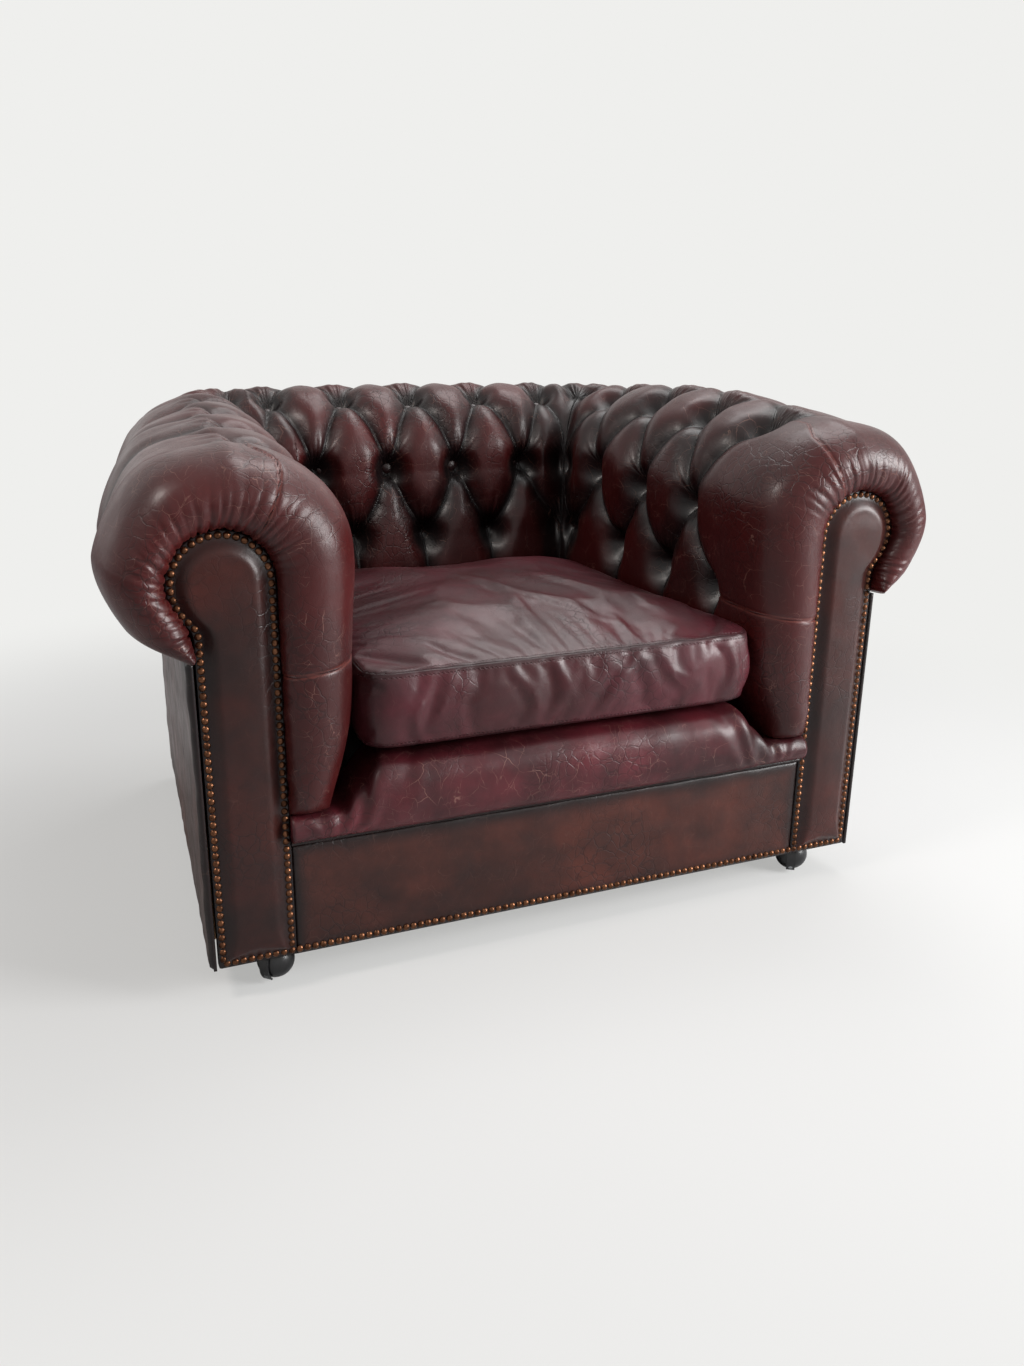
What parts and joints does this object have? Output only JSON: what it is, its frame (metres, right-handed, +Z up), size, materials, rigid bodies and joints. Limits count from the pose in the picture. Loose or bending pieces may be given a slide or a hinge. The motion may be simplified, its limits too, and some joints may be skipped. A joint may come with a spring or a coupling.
{
  "type": "chesterfield armchair",
  "caption": "Low rolled-arm club chair with deep buttoned inside arms and back, a loose box cushion, nailed facings and swivelling ball casters.",
  "frame": {"origin": "on the floor under the middle of the whole chair", "axes": "+X across the chair to the right of someone facing it, +Y from the front to the back, +Z up"},
  "size_m": [1.156, 0.885, 0.7204],
  "materials": {
    "antiqued_leather": "hand-antiqued oxblood hide, semi-gloss, creased and rubbed",
    "cushion_leather": "softer oxblood hide, semi-gloss, creased",
    "foam": "open-cell foam",
    "felt": "cotton felt",
    "jute": "plain-woven jute",
    "black_cloth": "black calico",
    "spring_steel": "oiled spring wire",
    "antique_brass": "antiqued, worn bright on the crowns",
    "black_nylon": "moulded nylon, satin",
    "zinc_plated_steel": "bright zinc",
    "beech": "planed, unfinished"
  },
  "bodies": {
    "frame": {"back_buttons": "antiqued_leather", "back_outside_panel": "antiqued_leather", "back_pad": "antiqued_leather", "back_panel_nails": "antique_brass", "back_seat_rail": "beech", "back_struts": "beech", "back_top_rail": "beech", "back_tuck_rail": "beech", "back_webbing": "jute", "corner_blocks": "beech", "dust_cover": "black_cloth", "front_border": "antiqued_leather", "front_border_nails": "antique_brass", "front_lip_pad": "antiqued_leather", "front_seat_rail": "beech", "left_arm_buttons": "antiqued_leather", "left_arm_pad": "antiqued_leather", "left_arm_top_rail": "beech", "left_arm_webbing": "jute", "left_back_post": "beech", "left_facing_nails": "antique_brass", "left_facing_panel": "antiqued_leather", "left_front_post": "beech", "left_outside_panel": "antiqued_leather", "left_side_rail": "beech", "left_tuck_rail": "beech", "lip_welt": "antiqued_leather", "right_arm_buttons": "antiqued_leather", "right_arm_pad": "antiqued_leather", "right_arm_top_rail": "beech", "right_arm_webbing": "jute", "right_back_post": "beech", "right_facing_nails": "antique_brass", "right_facing_panel": "antiqued_leather", "right_front_post": "beech", "right_outside_panel": "antiqued_leather", "right_side_rail": "beech", "right_tuck_rail": "beech", "seat_deck_pad": "felt", "seat_springs": "spring_steel", "spring_clips": "spring_steel", "spring_hessian": "jute", "back_left_caster_socket": "zinc_plated_steel", "back_right_caster_socket": "zinc_plated_steel", "front_left_caster_socket": "zinc_plated_steel", "front_right_caster_socket": "zinc_plated_steel"},
    "seat_cushion": {"seat_cushion_core": "foam", "seat_cushion_cover": "cushion_leather"},
    "front_left_swivel": {"front_left_caster_axle": "zinc_plated_steel", "front_left_caster_fork": "black_nylon"},
    "front_left_roller": {"front_left_caster_ball": "black_nylon"},
    "front_right_swivel": {"front_right_caster_axle": "zinc_plated_steel", "front_right_caster_fork": "black_nylon"},
    "front_right_roller": {"front_right_caster_ball": "black_nylon"},
    "back_left_swivel": {"back_left_caster_axle": "zinc_plated_steel", "back_left_caster_fork": "black_nylon"},
    "back_left_roller": {"back_left_caster_ball": "black_nylon"},
    "back_right_swivel": {"back_right_caster_axle": "zinc_plated_steel", "back_right_caster_fork": "black_nylon"},
    "back_right_roller": {"back_right_caster_ball": "black_nylon"}
  },
  "joints": [
    {"name": "cushion_lift", "type": "slide", "parent": "frame", "child": "seat_cushion", "axis": [0, 0, 1], "range_m": [0, 0.35]},
    {"name": "front_left_swivel_turn", "type": "hinge", "parent": "frame", "child": "front_left_swivel", "pos_m": [-0.414, -0.3725, 0.06], "axis": [0, 0, 1], "continuous": true},
    {"name": "front_left_roll", "type": "hinge", "parent": "front_left_swivel", "child": "front_left_roller", "pos_m": [-0.40764, -0.37886, 0.025], "axis": [-0.6124, -0.6124, -0.5], "continuous": true},
    {"name": "front_right_swivel_turn", "type": "hinge", "parent": "frame", "child": "front_right_swivel", "pos_m": [0.414, -0.3725, 0.06], "axis": [0, 0, 1], "continuous": true},
    {"name": "front_right_roll", "type": "hinge", "parent": "front_right_swivel", "child": "front_right_roller", "pos_m": [0.42137, -0.37766, 0.025], "axis": [-0.4967, -0.7094, -0.5], "continuous": true},
    {"name": "back_left_swivel_turn", "type": "hinge", "parent": "frame", "child": "back_left_swivel", "pos_m": [-0.392, 0.3125, 0.06], "axis": [0, 0, 1], "continuous": true},
    {"name": "back_left_roll", "type": "hinge", "parent": "back_left_swivel", "child": "back_left_roller", "pos_m": [-0.40046, 0.30942, 0.025], "axis": [-0.2962, 0.8138, -0.5], "continuous": true},
    {"name": "back_right_swivel_turn", "type": "hinge", "parent": "frame", "child": "back_right_swivel", "pos_m": [0.392, 0.3125, 0.06], "axis": [0, 0, 1], "continuous": true},
    {"name": "back_right_roll", "type": "hinge", "parent": "back_right_swivel", "child": "back_right_roller", "pos_m": [0.40069, 0.31017, 0.025], "axis": [-0.2241, -0.8365, -0.5], "continuous": true}
  ]
}
